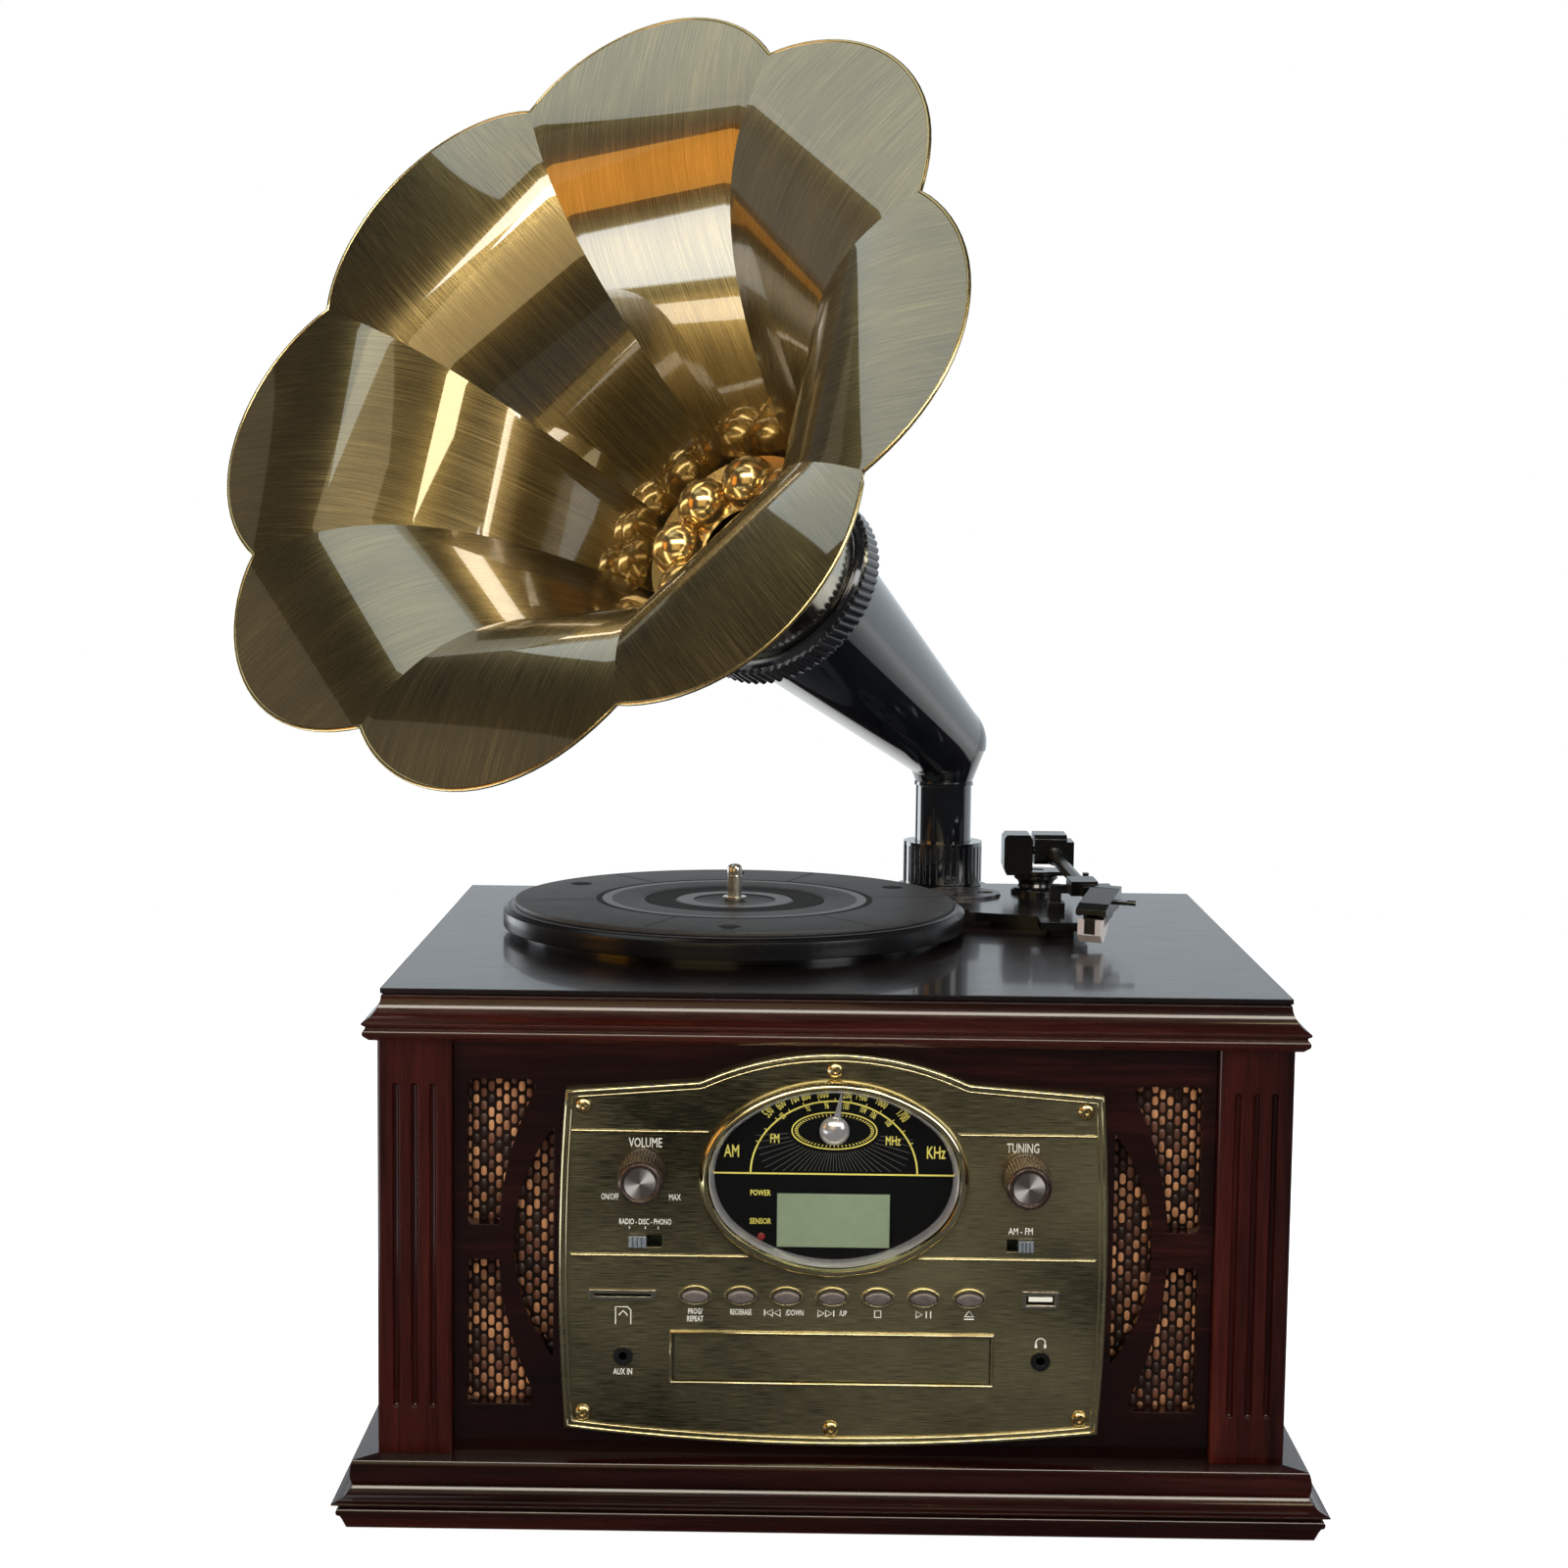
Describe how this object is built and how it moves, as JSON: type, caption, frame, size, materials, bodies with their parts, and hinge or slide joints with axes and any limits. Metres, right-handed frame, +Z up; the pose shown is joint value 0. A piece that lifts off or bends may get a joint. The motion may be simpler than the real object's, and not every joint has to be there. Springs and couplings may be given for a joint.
{
  "type": "table-top horn gramophone with radio, disc player and turntable",
  "caption": "Wooden table gramophone with a brass petal horn, belt-driven turntable, radio dial, knobs, push buttons and a disc tray",
  "frame": {"origin": "middle of the plinth's footprint, in the plane it stands on", "axes": "+X to the right seen from the front, +Y to the back, +Z up"},
  "size_m": [0.4848, 0.424, 0.641],
  "materials": {
    "mahogany_wood": "satin",
    "board_wood": "matte",
    "black_board": "satin",
    "grille_fabric": "matte",
    "speaker_metal": "matte",
    "antique_brass": "brushed",
    "screw_brass": "polished",
    "dial_black": "matte",
    "clear_glass": "clear",
    "lcd_plastic": "gloss",
    "socket_metal": "satin",
    "black_plastic": "satin",
    "circuit_board": "matte",
    "steel_sheet": "satin",
    "chrome_metal": "polished",
    "belt_rubber": "matte",
    "mat_rubber": "matte",
    "grey_aluminium": "satin",
    "milky_plastic": "satin",
    "black_chrome": "polished",
    "polished_brass": "polished",
    "pale_brass": "polished",
    "horn_brass": "brushed",
    "bronze_plastic": "metallic paint",
    "silver_plastic": "metallic paint"
  },
  "bodies": {
    "cabinet": {"plinth": "mahogany_wood", "side_panel_left": "mahogany_wood", "side_panel_right": "mahogany_wood", "pilaster_left": "mahogany_wood", "pilaster_right": "mahogany_wood", "front_panel": "mahogany_wood", "cornice": "mahogany_wood", "bottom_board": "board_wood", "back_panel": "board_wood", "top_board": "black_board", "grille_cloths": "grille_fabric", "loudspeakers": "speaker_metal", "faceplate": "antique_brass", "faceplate_screws": "screw_brass", "dial_bezel": "screw_brass", "dial_plate": "dial_black", "dial_glass": "clear_glass", "display": "lcd_plastic", "card_slot": "socket_metal", "usb_socket": "socket_metal", "jack_sockets": "black_plastic", "rear_sockets": "black_plastic", "turntable_deck": "black_plastic", "arm_base": "black_plastic", "arm_rest": "black_plastic", "control_board": "circuit_board", "transformer": "steel_sheet", "disc_loader": "steel_sheet", "motor": "steel_sheet", "spindle": "chrome_metal", "drive_belt": "belt_rubber", "record_adaptor": "grey_aluminium"},
    "platter_unit": {"platter": "black_plastic", "platter_mat": "mat_rubber"},
    "pulley_unit": {"motor_pulley": "screw_brass"},
    "horn_unit": {"horn_elbow": "black_chrome", "ring_nut": "black_chrome", "horn_neck": "pale_brass", "throat_domes": "polished_brass", "horn_bell": "horn_brass"},
    "collar_unit": {"horn_collar": "black_chrome"},
    "yoke_unit": {"arm_yoke": "black_plastic"},
    "arm_unit": {"tonearm": "black_plastic", "headshell": "black_plastic", "cartridge": "black_plastic", "stylus_guard": "milky_plastic"},
    "volume_unit": {"volume_knob": "bronze_plastic"},
    "tuning_unit": {"tuning_knob": "bronze_plastic"},
    "pointer_unit": {"dial_pointer": "silver_plastic"},
    "function_unit": {"function_slider": "silver_plastic"},
    "band_unit": {"band_slider": "silver_plastic"},
    "tray_unit": {"disc_tray": "black_plastic", "tray_door": "antique_brass"},
    "button_1_unit": {"button_1": "bronze_plastic"},
    "button_2_unit": {"button_2": "bronze_plastic"},
    "button_3_unit": {"button_3": "bronze_plastic"},
    "button_4_unit": {"button_4": "bronze_plastic"},
    "button_5_unit": {"button_5": "bronze_plastic"},
    "button_6_unit": {"button_6": "bronze_plastic"},
    "button_7_unit": {"button_7": "bronze_plastic"}
  },
  "joints": [
    {"name": "platter_spin", "type": "hinge", "parent": "cabinet", "child": "platter_unit", "pos_m": [-0.0465, 0.01, 0.2335], "axis": [0, 0, -1], "continuous": true},
    {"name": "pulley_spin", "type": "hinge", "parent": "cabinet", "child": "pulley_unit", "pos_m": [-0.0815, 0.07062, 0.2305], "axis": [0, 0, -1], "continuous": true},
    {"name": "horn_turn", "type": "hinge", "parent": "cabinet", "child": "horn_unit", "pos_m": [0.058, 0.128, 0.2411], "axis": [0, 0, 1], "continuous": true},
    {"name": "collar_turn", "type": "hinge", "parent": "cabinet", "child": "collar_unit", "pos_m": [0.058, 0.128, 0.2411], "axis": [0, 0, 1], "range_deg": [0, 90]},
    {"name": "arm_swing", "type": "hinge", "parent": "cabinet", "child": "yoke_unit", "pos_m": [0.104, 0.1, 0.2441], "axis": [0, 0, -1], "range_deg": [0, 46]},
    {"name": "arm_lift", "type": "hinge", "parent": "yoke_unit", "child": "arm_unit", "pos_m": [0.104, 0.1, 0.2545], "axis": [-1, 0, 0], "range_deg": [0, 12]},
    {"name": "volume_turn", "type": "hinge", "parent": "cabinet", "child": "volume_unit", "pos_m": [-0.0795, -0.155, 0.1496], "axis": [0, 1, 0], "range_deg": [0, 300]},
    {"name": "tuning_turn", "type": "hinge", "parent": "cabinet", "child": "tuning_unit", "pos_m": [0.0795, -0.155, 0.1496], "axis": [0, 1, 0], "range_deg": [-210, 270]},
    {"name": "pointer_turn", "type": "hinge", "parent": "cabinet", "child": "pointer_unit", "pos_m": [0, -0.152, 0.167], "axis": [0, 1, 0], "range_deg": [-70, 90]},
    {"name": "function_slide", "type": "slide", "parent": "cabinet", "child": "function_unit", "axis": [1, 0, 0], "range_m": [0, 0.0062]},
    {"name": "band_slide", "type": "slide", "parent": "cabinet", "child": "band_unit", "axis": [1, 0, 0], "range_m": [-0.0045, 0]},
    {"name": "tray_slide", "type": "slide", "parent": "cabinet", "child": "tray_unit", "axis": [0, -1, 0], "range_m": [0, 0.125]},
    {"name": "button_1_press", "type": "slide", "parent": "cabinet", "child": "button_1_unit", "axis": [0, 1, 0], "range_m": [0, 0.0012], "stiffness_N_per_m": 400},
    {"name": "button_2_press", "type": "slide", "parent": "cabinet", "child": "button_2_unit", "axis": [0, 1, 0], "range_m": [0, 0.0012], "stiffness_N_per_m": 400},
    {"name": "button_3_press", "type": "slide", "parent": "cabinet", "child": "button_3_unit", "axis": [0, 1, 0], "range_m": [0, 0.0012], "stiffness_N_per_m": 400},
    {"name": "button_4_press", "type": "slide", "parent": "cabinet", "child": "button_4_unit", "axis": [0, 1, 0], "range_m": [0, 0.0012], "stiffness_N_per_m": 400},
    {"name": "button_5_press", "type": "slide", "parent": "cabinet", "child": "button_5_unit", "axis": [0, 1, 0], "range_m": [0, 0.0012], "stiffness_N_per_m": 400},
    {"name": "button_6_press", "type": "slide", "parent": "cabinet", "child": "button_6_unit", "axis": [0, 1, 0], "range_m": [0, 0.0012], "stiffness_N_per_m": 400},
    {"name": "button_7_press", "type": "slide", "parent": "cabinet", "child": "button_7_unit", "axis": [0, 1, 0], "range_m": [0, 0.0012], "stiffness_N_per_m": 400}
  ],
  "couplings": [
    {"joint": "pulley_spin", "follows": "platter_spin", "ratio": 10},
    {"joint": "pointer_turn", "follows": "tuning_turn", "ratio": 0.33333},
    {"joint": "arm_lift", "follows": "arm_swing", "ratio": 0.25}
  ]
}
